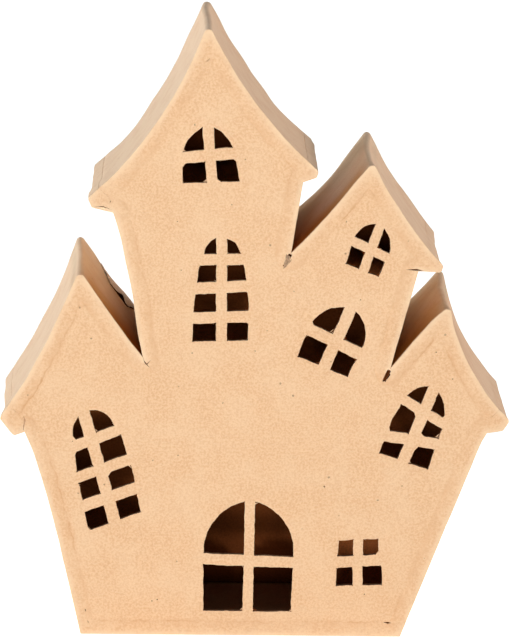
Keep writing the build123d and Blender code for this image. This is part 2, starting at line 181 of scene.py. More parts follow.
# Each settling is a middle (x, y, z), a reach, and how far the middle has moved
SETTLINGS = (
    ((-22.0, 35.0, 262.0), 48.0, (-1.3, 0.0, 0.6)),
    ((-17.0, 35.0, 256.0), 16.0, (1.4, 0.0, 0.3)),
    ((-8.0, 35.0, 239.0), 13.0, (0.8, 0.0, 0.2)),
    ((10.0, 35.0, 213.0), 16.0, (-1.1, 0.0, -0.4)),
    ((-56.0, 35.0, 204.0), 20.0, (1.1, 0.0, -0.5)),
    ((-70.0, -30.0, 189.0), 19.0, (-1.4, 0.0, 0.0)),
    ((-54.0, -35.0, 170.0), 34.0, (1.45, 0.0, 0.0)),
    ((-48.0, -35.0, 146.0), 18.0, (0.9, 0.0, 0.0)),
    ((-48.0, -15.0, 146.0), 20.0, (0.9, 0.0, 0.0)),
    ((-74.7, 35.0, 158.0), 34.0, (-1.3, 0.0, 0.9)),
    ((-61.8, 35.0, 140.2), 14.0, (-0.8, 0.0, -0.5)),
    ((-106.0, 35.0, 94.4), 24.0, (-2.0, 0.0, -1.0)),
    ((-92.0, 35.0, 120.0), 26.0, (-0.8, 0.0, 0.0)),
    ((-106.0, 8.0, 94.0), 24.0, (-1.2, 0.0, 0.0)),
    ((-102.0, -35.0, 94.0), 18.0, (-1.2, 0.0, 0.0)),
    ((-85.0, -35.0, 62.0), 40.0, (0.6, 0.0, 0.0)),
    ((45.9, 35.0, 205.0), 32.0, (1.5, 0.0, 0.9)),
    ((45.9, -35.0, 205.0), 12.0, (0.8, 0.0, 0.0)),
    ((24.2, 35.0, 202.0), 14.0, (-1.3, 0.0, 0.0)),
    ((28.0, 35.0, 186.0), 20.0, (0.8, 0.0, -0.7)),
    ((66.0, 35.0, 177.0), 18.0, (1.1, 0.0, 0.4)),
    ((75.4, -35.0, 160.0), 9.0, (0.8, 0.0, 0.0)),
    ((79.2, 35.0, 145.7), 34.0, (1.8, 0.0, -0.2)),
    ((79.5, -35.0, 146.0), 11.0, (0.9, 0.0, -0.8)),
    ((106.0, 35.0, 95.0), 20.0, (0.6, 0.0, -1.3)),
    ((101.0, -35.0, 92.0), 9.0, (1.3, 0.0, -0.3)),
)


def screen_colour(red, green, blue):
    """A colour read off a screen, 0 to 255, as the linear colour that a material takes."""
    linear = []
    for part in (red / 255, green / 255, blue / 255):
        linear.append(part / 12.92 if part <= 0.04045 else ((part + 0.055) / 1.055) ** 2.4)
    return (*linear, 1.0)


def measured(name, description, default, unit="LENGTH"):
    """A setting with a unit."""
    return FloatProperty(name=name, description=description, default=default, unit=unit)


def coloured(name, description, default):
    """A setting for a linear colour, with or without alpha."""
    return FloatVectorProperty(
        name=name,
        description=description,
        default=default,
        subtype="COLOR",
        size=len(default),
        min=0.0,
        max=1.0,
    )


class CastlePaperSettings(bpy.types.PropertyGroup):
    """How the boards and papers are folded, cut and worn."""

    fold_radius: measured(
        "Fold radius", "Outer radius of the paper where it folds over the front and the back", 1.0 * MM
    )
    pressed_edge: measured(
        "Pressed edge", "How far the margin of a turned edge is pressed down", 0.28 * MM
    )
    pane_radius: measured("Pane radius", "Rounding of the front board's edges at the panes", 0.25 * MM)
    grid_step: measured("Grid step", "Spacing of the cuts that let the sheets ripple", 3.0 * MM)
    board_warp: measured(
        "Board warp", "How far the boards wander from flat, over a few centimetres", 0.4 * MM
    )
    paper_ripple: measured("Paper ripple", "How far the paper ripples, over a few millimetres", 0.4 * MM)
    margin_wander: measured(
        "Margin wander", "How far the hand-cut margins wander from their line", 0.7 * MM
    )
    pane_wander: measured(
        "Pane wander", "How far the hand-cut edges of the panes wander from their line", 0.22 * MM
    )
    slit_depth: measured("Slit depth", "How deep the slits in the front go", 1.1 * MM)
    lap_lift: measured("Lap lift", "How far the torn lap stands up from the slope", 0.6 * MM)
    fibre_count: IntProperty(
        name="Fibres", description="How many frayed fibres stick out at the panes", default=110
    )
    overcut: measured("Overcut", "How far the knife went past a corner of a pane at most", 0.38 * MM)
    chance: IntProperty(
        name="Seed", description="Start of the random draws and of the noise for handwork", default=11
    )


class CastleColourSettings(bpy.types.PropertyGroup):
    """Colours of the paper and the board."""

    kraft: coloured("Kraft", "Middle tone of the kraft paper", screen_colour(249, 207, 163))
    # Light kraft also serves as the painted highlight along the folds
    kraft_light: coloured("Light kraft", "Pale mottles and rubbed folds", screen_colour(255, 220, 180))
    kraft_dark: coloured(
        "Dark kraft", "Dark mottles and glue along the margins", screen_colour(236, 187, 140)
    )
    fleck: coloured("Fleck", "Bark flecks in the pulp", screen_colour(128, 84, 54))
    # Painted shade: darkens the paper's tone in the valleys, where shade falls
    painted_valley_shade: coloured("Painted valley shade", "What the dark valleys do to the paper's tone", (0.58, 0.35, 0.18, 1.0))
    # Painted shade: darkens the front part of the inner slopes, which lies in shade behind the fold
    painted_edge_shade: coloured(
        "Painted edge shade", "What handling does to the front edge of the inner slopes", (0.92, 0.64, 0.3, 1.0)
    )
    # Painted shade: greys and darkens the inner slopes, where shade falls
    painted_grey_shade: coloured("Painted grey shade", "What dust does to the inner slopes", (0.8, 0.92, 1.0, 1.0))
    # The seam colour is both glue and a painted shadow of the margin's step
    seam: coloured("Seam", "Glue line along the margin of a turned edge", screen_colour(214, 148, 92))
    torn_pulp: coloured("Torn pulp", "Greyish core of torn paper", screen_colour(240, 214, 186))
    scrap_pulp: coloured("Scrap", "Crumpled paper in the middle valley", screen_colour(190, 154, 122))
    board_core: coloured("Board core", "Cut edge of the board", screen_colour(150, 100, 62))
    board_inside: coloured(
        "Raw board", "Raw board on the inside of the castle", screen_colour(218, 124, 66)
    )
    inside_shade: coloured(
        "Inside shade", "What the dark corners inside do to the board's tone", (0.08, 0.06, 0.05, 1.0)
    )
    floor_shade: coloured(
        "Floor shade", "What the dark inside does to the floor's tone", (0.3, 0.15, 0.05, 1.0)
    )


class CastleStudioSettings(bpy.types.PropertyGroup):
    """Floor, lamps and camera."""

    floor_size: measured("Floor size", "Side of the square floor", 12.0)
    sky_level: FloatProperty(
        name="Sky level",
        description="Strength of the soft light from above and from the side of the viewer",
        default=0.2,
    )
    backdrop_level: FloatProperty(
        name="Backdrop level",
        description="Strength of the soft light from the pale backdrop behind the castle",
        default=1.0,
    )
    front_power: measured("Front power", "Power of the large lamp in front", 19.0, "POWER")
    left_power: measured("Left power", "Power of the lamp on the left", 13.5, "POWER")
    left_tint: coloured(
        "Left tint", "Colour of the lamp on the left, cooled by a window", (0.91, 0.94, 1.0)
    )
    right_power: measured("Right power", "Power of the lamp on the right", 9.2, "POWER")
    right_tint: coloured(
        "Right tint", "Colour of the lamp on the right, warmed by the room", (0.97, 0.78, 0.72)
    )
    lamp_width: measured("Lamp width", "Width of each large lamp", 0.9)
    front_height: measured("Front height", "Height of the lamp in front", 0.24)
    side_height: measured("Side height", "Height of the lamps at the sides", 0.4)
    lamp_distance: measured("Lamp distance", "Distance of each large lamp from the castle", 1.7)
    front_azimuth: measured(
        "Front azimuth", "How far to the left the lamp in front stands", radians(5), "ROTATION"
    )
    side_azimuth: measured(
        "Side azimuth", "How far from the front the lamps at the sides stand", radians(98), "ROTATION"
    )
    front_elevation: measured(
        "Front elevation", "How high the lamp in front stands", radians(0.3), "ROTATION"
    )
    side_elevation: measured(
        "Side elevation", "How high the lamps at the sides stand", radians(3), "ROTATION"
    )
    camera_place: FloatVectorProperty(
        name="Camera place",
        description="Where the camera stands",
        default=(-0.034146, -1.620863, 0.517896),
        subtype="XYZ",
        unit="LENGTH",
    )
    camera_pitch: measured("Camera pitch", "How far the camera looks down", radians(13.4726), "ROTATION")
    camera_yaw: measured(
        "Camera yaw", "How far the camera looks to the right", radians(1.2041), "ROTATION"
    )
    camera_roll: measured(
        "Camera roll",
        "How far the camera is turned about its own line of sight",
        radians(0.8830),
        "ROTATION",
    )
    camera_lens: FloatProperty(
        name="Camera lens", description="Focal length in millimetres on a 36 mm sensor", default=220.0
    )


def paper_settings():
    return bpy.context.scene.castle_paper


def colours():
    return bpy.context.scene.castle_colours


def studio():
    return bpy.context.scene.castle_studio


# Node groups and materials


def socketed_group(name, inputs, outputs):
    """A shader node group with named sockets, and its input and output nodes."""
    group = bpy.data.node_groups.new(name, "ShaderNodeTree")
    for label, kind, default in inputs:
        socket = group.interface.new_socket(name=label, in_out="INPUT", socket_type=kind)
        if default is not None:
            socket.default_value = default
    for label, kind in outputs:
        group.interface.new_socket(name=label, in_out="OUTPUT", socket_type=kind)
    return group, group.nodes.new("NodeGroupInput"), group.nodes.new("NodeGroupOutput")


def fed(tree, sockets, values):
    """Feeds each input socket from another socket, or sets it to a fixed value."""
    for socket, value in zip(sockets, values):
        if hasattr(value, "links"):
            tree.links.new(value, socket)
        else:
            socket.default_value = value


def new_node(tree, kind, given):
    """A shader node with its inputs given by name, each as a socket or a fixed value."""
    node = tree.nodes.new("ShaderNode" + kind)
    fed(tree, [node.inputs[label] for label in given], given.values())
    return node


def noise_field(tree, vector, scale, detail=2.0, rough=0.5, distortion=0.0):
    """A noise texture's value over a vector socket."""
    given = {"Vector": vector, "Scale": scale, "Detail": detail, "Roughness": rough, "Distortion": distortion}
    return new_node(tree, "TexNoise", given).outputs["Fac"]


def ramped(tree, value, low, high, to_low=0.0, to_high=1.0):
    """A value stretched from one range to another, smoothly and held at its ends."""
    given = {"Value": value, "From Min": low, "From Max": high, "To Min": to_low, "To Max": to_high}
    node = new_node(tree, "MapRange", given)
    node.interpolation_type = "SMOOTHSTEP"
    return node.outputs["Result"]


def combined(tree, operation, first, second):
    """Two values joined by a math node. Each may be a socket or a plain number."""
    node = tree.nodes.new("ShaderNodeMath")
    node.operation = operation
    fed(tree, node.inputs, (first, second))
    return node.outputs["Value"]


def product(tree, first, *others):
    """Values multiplied together."""
    for other in others:
        first = combined(tree, "MULTIPLY", first, other)
    return first


def blended(tree, share, under, over, blend="MIX"):
    """Two colours mixed by a share. Each of the three may be a socket or a fixed value."""
    node = tree.nodes.new("ShaderNodeMix")
    node.data_type = "RGBA"
    node.blend_type = blend
    colour_sockets = [socket for socket in node.inputs if socket.type == "RGBA"]
    fed(tree, [node.inputs["Factor"]] + colour_sockets, (share, under, over))
    return next(socket for socket in node.outputs if socket.type == "RGBA")


def fleck_mask(group, place):
    """Where the bark flecks lie: ragged spots of many sizes and depths."""
    waver = new_node(group, "TexNoise", {"Vector": place, "Scale": 900.0})
    ragged = group.nodes.new("ShaderNodeVectorMath")
    ragged.operation = "MULTIPLY_ADD"
    fed(group, ragged.inputs, (waver.outputs["Color"], (0.0006, 0.0006, 0.0006), place))
    cells = new_node(group, "TexVoronoi", {"Vector": ragged.outputs["Vector"], "Scale": 190.0})
    draw = new_node(group, "SeparateColor", {"Color": cells.outputs["Color"]})
    reach = ramped(group, draw.outputs["Red"], 0.6, 1.0, 0.0, 0.09)
    inside = combined(group, "LESS_THAN", cells.outputs["Distance"], reach)
    return product(group, inside, ramped(group, draw.outputs["Green"], 0.0, 1.0, 0.25, 0.9))


def kraft_pulp_group():
    """Kraft pulp: mottles, fibres and bark flecks, as a colour and a height."""
    found = bpy.data.node_groups.get("kraft_pulp")
    if found:
        return found
    tones = [(label, "NodeSocketColor", None) for label in ("Middle", "Light", "Dark", "Fleck")]
    group, given, result = socketed_group(
        "kraft_pulp",
        [("Vector", "NodeSocketVector", None), *tones, ("Flecks", "NodeSocketFloat", 1.0)],
        [("Color", "NodeSocketColor"), ("Height", "NodeSocketFloat")],
    )
    place, light, dark = (given.outputs[label] for label in ("Vector", "Light", "Dark"))
    clouds = noise_field(group, place, 60.0, 4.0, 0.6)
    mottle = noise_field(group, place, 1100.0, 3.0, 0.6)
    grain = noise_field(group, place, 1700.0, 2.0, 0.6)
    fibres = None
    for turn in ((0.0, 0.5, 0.0), (0.0, -0.9, 0.0), (0.0, 2.0, 0.4)):
        drawn = new_node(group, "Mapping", {"Vector": place, "Rotation": turn, "Scale": (1.0, 1.0, 5.0)})
        field = noise_field(group, drawn.outputs["Vector"], 420.0, 2.0, 0.5, 0.6)
        strands = ramped(group, field, 0.62, 0.74)
        fibres = strands if fibres is None else combined(group, "MAXIMUM", fibres, strands)

    tone = blended(group, ramped(group, mottle, 0.35, 0.62), dark, given.outputs["Middle"])
    tone = blended(group, ramped(group, clouds, 0.35, 0.7, 0.0, 0.35), tone, light)
    tone = blended(group, product(group, fibres, 0.35), tone, light)
    tone = blended(group, ramped(group, grain, 0.52, 0.72, 0.0, 0.42), tone, dark)
    spots = product(group, fleck_mask(group, place), given.outputs["Flecks"])
    tone = blended(group, spots, tone, given.outputs["Fleck"])

    height = combined(group, "ADD", product(group, mottle, 0.6), fibres)
    height = combined(group, "ADD", height, product(group, grain, 0.5))
    fed(group, result.inputs, (tone, height))
    return group


def fresh_material(name):
    """An empty material with its output node."""
    material = bpy.data.materials.new(name)
    material.use_nodes = True
    material.node_tree.nodes.clear()
    return material, material.node_tree, material.node_tree.nodes.new("ShaderNodeOutputMaterial")


def attribute_value(tree, name):
    """The value of a piece's own attribute."""
    node = tree.nodes.new("ShaderNodeAttribute")
    node.attribute_name = name
    return node.outputs["Fac"]


def rim_tone(tree, place, tone, light, dark):
    """A tone with a painted highlight at the fold, darkened by glue in the margin, and lined at its edge with
    glue and painted shadow.
    """
    distance = attribute_value(tree, "inset")
    uneven = noise_field(tree, place, 130.0, 3.0)
    # Painted highlight along the fold, where light catches the rounded edge
    highlight_painted = product(
        tree, ramped(tree, distance, 0.3, 2.4, 1.0, 0.0), ramped(tree, uneven, 0.3, 0.6, 0.4, 0.9)
    )
    tone = blended(tree, highlight_painted, tone, light)
    glue = product(
        tree,
        ramped(tree, distance, 2.2, 5.0),
        ramped(tree, distance, 6.2, 7.4, 1.0, 0.0),
        ramped(tree, uneven, 0.35, 0.65, 0.1, 0.5),
    )
    tone = blended(tree, glue, tone, dark)
    waver = ramped(tree, noise_field(tree, place, 320.0, 2.0), 0.3, 0.7, -0.3, 0.5)
    wavering = combined(tree, "ADD", distance, waver)
    # Line of glue and painted shadow where the margin's step meets the face
    seam = product(
        tree,
        ramped(tree, wavering, 5.1, 5.9),
        combined(tree, "LESS_THAN", wavering, 6.05),
        ramped(tree, uneven, 0.35, 0.6, 0.3, 1.0),
        attribute_value(tree, "seam"),
    )
    return blended(tree, seam, tone, colours().seam)


def pulp_material(name, middle, light, dark, flecks, shine, painted_shade_layers=(), rim=False):
    """A material of kraft pulp, darkened by attributes of painted shade that each have a tone.

    With rim, the fold gets a painted highlight and glue darkens the margin.
    """
    found = bpy.data.materials.get(name)
    if found:
        return found
    material, tree, output = fresh_material(name)
    place = tree.nodes.new("ShaderNodeTexCoord").outputs["Object"]
    pulp = tree.nodes.new("ShaderNodeGroup")
    pulp.node_tree = kraft_pulp_group()
    fed(tree, pulp.inputs, (place, middle, light, dark, colours().fleck, flecks))
    tone = pulp.outputs["Color"]
    if rim:
        tone = rim_tone(tree, place, tone, light, dark)
    gloss = shine
    # Each attribute multiplies in its tone of painted shade, and dulls the gloss there
    for attribute, shade_tone in painted_shade_layers:
        share = attribute_value(tree, attribute)
        tone = blended(tree, share, tone, shade_tone, "MULTIPLY")
        gloss = product(tree, gloss, combined(tree, "SUBTRACT", 1.0, share))
    bump = new_node(
        tree, "Bump", {"Height": pulp.outputs["Height"], "Strength": 0.5, "Distance": 0.12 * MM}
    )
    given = {
        "Base Color": tone,
        "Normal": bump.outputs["Normal"],
        "Roughness": 0.75,
        "Specular IOR Level": gloss,
        "Sheen Weight": product(tree, gloss, 0.3) if painted_shade_layers else 0.3 * gloss,
        "Sheen Roughness": 0.5,
    }
    shader = new_node(tree, "BsdfPrincipled", given)
    tree.links.new(shader.outputs["BSDF"], output.inputs["Surface"])
    return material


def kraft_material():
    own = colours()
    # Painted shade in the valleys, on the inner slopes' front edges, and grey painted shade on the slopes
    painted_shade_layers = (("painted_valley_shade", own.painted_valley_shade), ("painted_edge_shade", own.painted_edge_shade), ("painted_grey_shade", own.painted_grey_shade))
    return pulp_material(
        "castle_kraft", own.kraft, own.kraft_light, own.kraft_dark, 1.0, 0.4, painted_shade_layers, rim=True
    )


def shaded(colour, share):
    """A colour made darker, or lighter with a share above 1."""
    return (*[part * share for part in colour[:3]], 1.0)


def core_material():
    core = colours().board_core
    return pulp_material("castle_board_edge", core, shaded(core, 1.25), shaded(core, 0.7), 0.5, 0.2)


def inside_material():
    raw = colours().board_inside
    painted_shade_layers = (("shade", colours().inside_shade),)
    return pulp_material("castle_raw_board", raw, shaded(raw, 1.2), shaded(raw, 0.75), 0.5, 0.05, painted_shade_layers)


def floor_material():
    own = colours()
    painted_shade_layers = (("shade", own.floor_shade),)
    return pulp_material("castle_floor_board", own.kraft, own.kraft_light, own.kraft_dark, 0.5, 0.1, painted_shade_layers)


def torn_material():
    torn = colours().torn_pulp
    return pulp_material("castle_torn_paper", torn, shaded(torn, 1.15), shaded(torn, 0.7), 1.0, 0.3)


def scrap_material():
    scrap = colours().scrap_pulp
    return pulp_material("castle_scrap", scrap, shaded(scrap, 1.6), shaded(scrap, 0.4), 1.0, 0.2)


def fibre_material():
    pale = colours().kraft_light
    return pulp_material("castle_fibre", pale, pale, colours().kraft, 0.0, 0.2)


def fleck_material():
    fleck = colours().fleck
    return pulp_material("castle_fleck", fleck, shaded(fleck, 1.3), shaded(fleck, 0.6), 0.0, 0.1)


# Modelling helpers


def taken_up(piece):
    """Selects a piece alone and makes it the active one."""
    bpy.ops.object.select_all(action="DESELECT")
    piece.select_set(True)
    bpy.context.view_layer.objects.active = piece


def begin_edit(piece):
    taken_up(piece)
    bpy.ops.object.mode_set(mode="EDIT")


def end_edit():
    bpy.ops.object.mode_set(mode="OBJECT")


def turned_outwards(piece):
    """Makes all faces of a closed piece point outwards."""
    begin_edit(piece)
    bpy.ops.mesh.select_all(action="SELECT")
    bpy.ops.mesh.normals_make_consistent(inside=False)
    end_edit()


def newly_added(name):
    """The piece that was just added, under its own name."""
    piece = bpy.context.active_object
    piece.name = name
    piece.data.name = name
    return piece


def welded_copy(node, name):
    """A piece with the shape of a solid of the frame, welded, with each flat side one face."""
    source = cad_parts[node]
    piece = bpy.data.objects.new(name, source.data.copy())
    piece.data.name = name
    piece.data.materials.clear()
    bpy.context.scene.collection.objects.link(piece)
    begin_edit(piece)
    bpy.ops.mesh.select_mode(type="VERT")
    bpy.ops.mesh.select_all(action="SELECT")
    bpy.ops.mesh.remove_doubles(threshold=0.002 * MM)
    bpy.ops.mesh.dissolve_limited(angle_limit=radians(0.3))
    bpy.ops.mesh.select_all(action="SELECT")
    bpy.ops.mesh.normals_make_consistent(inside=False)
    end_edit()
    return piece


def pick_edges(piece, test):
    """Selects the edges of a piece in edit mode that pass a test, and says how many there are."""
    bpy.ops.mesh.select_mode(type="EDGE")
    bpy.ops.mesh.select_all(action="DESELECT")
    mesh = bmesh.from_edit_mesh(piece.data)
    picked = [edge for edge in mesh.edges if test(edge)]
    for edge in picked:
        edge.select_set(True)
    bmesh.update_edit_mesh(piece.data)
    return len(picked)


def rounded(piece, test, radius, segments):
    """Bevels the edges of a piece that pass a test."""
    begin_edit(piece)
    if pick_edges(piece, test):
        bpy.ops.mesh.bevel(offset=radius, segments=segments, affect="EDGES", clamp_overlap=True)
    end_edit()


def gridded(piece, axes, step):
    """Cuts a piece along evenly spaced planes, so that it can ripple."""
    lowest, highest = mesh_box(piece)
    begin_edit(piece)
    for axis in axes:
        normal = [0.0, 0.0, 0.0]
        normal[axis] = 1.0
        for count in range(ceil(lowest[axis] / step), floor(highest[axis] / step) + 1):
            spot = [0.0, 0.0, 0.0]
            spot[axis] = count * step
            bpy.ops.mesh.select_all(action="SELECT")
            bpy.ops.mesh.bisect(plane_co=spot, plane_no=normal, threshold=0.001 * MM)
    end_edit()


def on_rim(edge, depth):
    """Whether an edge lies at a depth and borders a face that runs inwards."""
    level = all(abs(vert.co.y - depth) < ALONGSIDE * MM for vert in edge.verts)
    return level and any(abs(face.normal.y) < 0.5 for face in edge.link_faces)


def points_of(piece):
    points = np.empty(len(piece.data.vertices) * 3, np.float32)
    piece.data.vertices.foreach_get("co", points)
    return points.reshape(-1, 3).astype(float)


def set_points(piece, points):
    piece.data.vertices.foreach_set("co", points.astype(np.float32).ravel())
    piece.data.update()


def mesh_box(piece):
    points = points_of(piece)
    return points.min(0), points.max(0)


def rim_chains():
    """The closed edges at the front of each board, outer rim first, as lists of (x, z) spots."""
    chains = {}
    for node in (FRONT_CARD, BACK_CARD):
        piece = welded_copy(node, "rim_" + node)
        mesh = bmesh.new()
        mesh.from_mesh(piece.data)
        front = min(vert.co.y for vert in mesh.verts)
        chains[node] = chained([edge for edge in mesh.edges if on_rim(edge, front)])
        mesh.free()
        bpy.data.objects.remove(piece)
    return chains


def chained(edges):
    """Edges put in order into closed chains of (x, z) spots, longest first."""
    ahead = {}
    for edge in edges:
        for vert in edge.verts:
            ahead.setdefault(vert, []).append(edge)
    left = set(edges)
    found = []
    while left:
        edge = min(left, key=lambda item: item.index)
        vert = edge.verts[0]
        chain = []
        while edge is not None:
            left.discard(edge)
            chain.append((vert.co.x, vert.co.z))
            vert = edge.other_vert(vert)
            edge = next((other for other in ahead[vert] if other in left), None)
        found.append(chain)
    return sorted(found, key=lambda chain: -len_around(chain))


def len_around(chain):
    spots = np.array(chain)
    return float(np.linalg.norm(spots - np.roll(spots, -1, 0), axis=1).sum())


RIMS = rim_chains()
OUTLINE = np.array(RIMS[BACK_CARD][0])


def inset_of(spots, chain):
    """How far each (x, z) spot is from a closed chain."""
    spots = np.asarray(spots, float).reshape(-1, 2)
    start = np.asarray(chain)
    run = np.roll(start, -1, 0) - start
    squared = (run ** 2).sum(1)
    nearest = np.full(len(spots), 1e9)
    for begin, way, square in zip(start, run, squared):
        share = np.clip(((spots - begin) @ way) / max(square, 1e-18), 0.0, 1.0)
        away = np.linalg.norm(spots - begin - share[:, None] * way, axis=1)
        nearest = np.minimum(nearest, away)
    return nearest


def stored(piece, name, values):
    """Keeps one value for each vertex on a piece, for its material."""
    attribute = piece.data.attributes.new(name, "FLOAT", "POINT")
    attribute.data.foreach_set("value", np.asarray(values, np.float32))


def eased(share):
    """A share from 0 to 1 with soft ends."""
    held = np.clip(share, 0.0, 1.0)
    return held * held * (3.0 - 2.0 * held)


def shades_painted_on_slopes(plan, inward):
    """How much painted valley shade, painted edge shade and painted grey shade lies on each vertex, by its
    place on the slopes into the valleys.
    """
    painted_valley_shade, painted_edge_shade, painted_grey_shade = np.zeros((3, len(plan)))
    for spot, ridge, reach, depth, grey, grey_rear in VALLEYS:
        away = np.linalg.norm(plan - spot, axis=1)
        run = np.subtract(ridge, spot)
        slope = np.linalg.norm(run)
        share = np.clip((plan - spot) @ run / slope ** 2, 0.0, 1.0)
        beside = np.linalg.norm(plan - spot - share[:, None] * run, axis=1)
        on_slope = eased((SLOPE_BAND - beside) / 3) * eased((slope - away) / 3)
        # Painted valley shade, strongest at the valley and faint along the whole slope
        painted_valley_shade = np.maximum(painted_valley_shade, eased(1.15 - away / reach))
        painted_valley_shade = np.maximum(painted_valley_shade, 0.18 * on_slope)
        # Painted grey shade on the slope, its greyness changing from front to rear
        greyed = grey + (grey_rear - grey) * eased((inward - 25) / 25)
        painted_grey_shade = np.maximum(painted_grey_shade, greyed * on_slope)
        # Painted shade behind the front edge of the inner slopes, deepest near the valley
        near_valley = 0.45 + 0.5 * eased(1.3 - away / slope)
        here = near_valley * eased((slope - away) / 9) * eased(1.05 - (inward - 2.0) / depth)
        painted_edge_shade = np.maximum(painted_edge_shade, here * on_slope)
    return painted_valley_shade, painted_edge_shade, painted_grey_shade


def spotted(plan, spots, least, steep):
    """The strongest mark that any of some round spots leaves on each vertex, or the least one."""
    mark = np.full(len(plan), least)
    for spot, reach, strength in spots:
        away = np.linalg.norm(plan - spot, axis=1)
        mark = np.maximum(mark, strength * eased(steep * (1.0 - away / reach)))
    return mark


def marked(piece):
    """Stores how far each vertex is from the outline, in millimetres, and how much painted shade and seam
    line lies at its place.
    """
    points = points_of(piece) / MM
    plan = points[:, [0, 2]]
    inset = inset_of(plan * MM, OUTLINE) / MM
    inward = points[:, 1] - FRONT
    # Only the sides get painted shade, from behind the fold on, and with less painted valley shade towards
    # the rear
    painted_valley_shade, painted_edge_shade, painted_grey_shade = shades_painted_on_slopes(plan, inward)
    on_wrap = (inset < 0.45) * eased((inward - 0.7) / 1.2)
    deep = np.clip(inward / (REAR - FRONT), 0.0, 0.97)
    stored(piece, "inset", inset)
    # Painted valley shade, fading towards the rear
    stored(piece, "painted_valley_shade", painted_valley_shade * on_wrap * (1.0 - 1.05 * deep ** 2))
    stored(piece, "painted_edge_shade", painted_edge_shade * on_wrap)
    stored(piece, "painted_grey_shade", painted_grey_shade * on_wrap)
    stored(piece, "seam", spotted(plan, SEAMS, 0.06, 1.4))
    # The raw back wall is dark in spots, the other raw boards all over, and the floor towards its rear
    shade = np.where(points[:, 1] > 30, spotted(plan, WALL_SHADES, 0.0, 2.2), 0.85)
    floor_rear = 0.62 * eased((points[:, 1] + 24) / 22) * eased((42 - points[:, 0]) / 8)
    on_floor = (points[:, 2] < 4) & (points[:, 1] < 32)
    stored(piece, "shade", np.where(on_floor, floor_rear, shade))


def wave_texture(name, scale, basis):
    found = bpy.data.textures.get(name)
    if found:
        return found
    texture = bpy.data.textures.new(name, "CLOUDS")
    texture.noise_scale = scale
    texture.noise_basis = basis
    texture.noise_depth = 1
    return texture


def rippled(piece):
    """Lets a piece wander with the rest of the castle, all by the same waves, but not at the floor."""
    own = paper_settings()
    group = piece.vertex_groups.new(name="above_floor")
    heights = points_of(piece)[:, 2]
    rise = 12 * MM
    for index, height in enumerate(heights):
        group.add([index], min(1.0, max(0.0, height / rise)), "REPLACE")
    waves = (
        ("X", "board_wave_x", 60 * MM, "ORIGINAL_PERLIN", own.board_warp),
        ("Y", "board_wave_y", 48 * MM, "IMPROVED_PERLIN", own.board_warp),
        ("Z", "board_wave_z", 55 * MM, "BLENDER_ORIGINAL", own.board_warp * 0.6),
        ("X", "paper_wave_x", 9 * MM, "IMPROVED_PERLIN", own.paper_ripple),
        ("Y", "paper_wave_y", 7 * MM, "ORIGINAL_PERLIN", own.paper_ripple),
        ("Z", "paper_wave_z", 8 * MM, "BLENDER_ORIGINAL", own.paper_ripple),
    )
    taken_up(piece)
    for direction, name, scale, basis, strength in waves:
        wave = piece.modifiers.new(name, "DISPLACE")
        wave.texture = wave_texture(name, scale, basis)
        wave.texture_coords = "LOCAL"
        wave.direction = direction
        wave.strength = strength
        wave.mid_level = 0.5
        wave.vertex_group = "above_floor"
        bpy.ops.object.modifier_apply(modifier=wave.name)
    piece.vertex_groups.clear()
    settled(piece)


def settled(piece):
    """Moves the spots of the castle that have settled out of true, and what is near them."""
    points = points_of(piece) / MM
    for middle, reach, shift in SETTLINGS:
        away = np.linalg.norm(points - middle, axis=1) / reach
        weight = np.clip(1.0 - away ** 2, 0.0, 1.0) ** 2
        points += weight[:, None] * np.array(shift)
    set_points(piece, points * MM)


def outlined_face(name, spots):
    """A flat piece with its corners at the given (x, y) spots, in metres, made from a circle."""
    bpy.ops.object.select_all(action="DESELECT")
    bpy.ops.mesh.primitive_circle_add(vertices=len(spots), radius=MM, fill_type="NGON", location=ORIGIN)
    piece = newly_added(name)
    points = points_of(piece)
    turns = np.argsort(np.arctan2(points[:, 1], points[:, 0]))
    area = sum(a[0] * b[1] - b[0] * a[1] for a, b in zip(spots, spots[1:] + spots[:1]))
    ordered = spots if area > 0 else spots[::-1]
    points[turns] = [(x, y, 0.0) for x, y in ordered]
    set_points(piece, points)
    return piece


def thickened(piece, depth):
    """Draws a flat piece out along its own normal."""
    begin_edit(piece)
    bpy.ops.mesh.select_all(action="SELECT")
    bpy.ops.mesh.extrude_region_move(TRANSFORM_OT_translate={"value": (0.0, 0.0, depth)})
    end_edit()
    turned_outwards(piece)


def cut_out(piece, cutter):
    """Takes a cutter's space out of a piece, and removes the cutter."""
    taken_up(piece)
    cut = piece.modifiers.new("cut", "BOOLEAN")
    cut.operation = "DIFFERENCE"
    cut.solver = "EXACT"
    cut.object = cutter
    bpy.ops.object.modifier_apply(modifier=cut.name)
    bpy.data.objects.remove(cutter)


def front_cutter(spots, depth):
    """A prism over (x, z) spots, in millimetres, from 1 mm before the front to a depth behind it."""
    cutter = outlined_face("knife", [(x * MM, z * MM) for x, z in spots])
    thickened(cutter, depth + MM)
    points = points_of(cutter)
    set_points(cutter, np.column_stack((points[:, 0], FRONT * MM - MM + points[:, 2], points[:, 1])))
    turned_outwards(cutter)
    return cutter


def slit_spots(begin, middle, end, width):
    """The outline of a slit that is widest at its middle."""
    run = np.array(end) - begin
    aside = np.array((-run[1], run[0])) / np.linalg.norm(run) * width / 2
    return [tuple(begin), tuple(middle - aside), tuple(end), tuple(middle + aside)]


def slit_open(piece, own):
    """Cuts the slits of the front into a piece where they reach it."""
    lowest, highest = mesh_box(piece)
    for begin, middle, end, width in SLITS:
        spots = slit_spots(begin, middle, end, width)
        near = np.array(spots) * MM
        if (near.max(0) < lowest[[0, 2]]).any() or (near.min(0) > highest[[0, 2]]).any():
            continue
        cut_out(piece, front_cutter(spots, own.slit_depth))


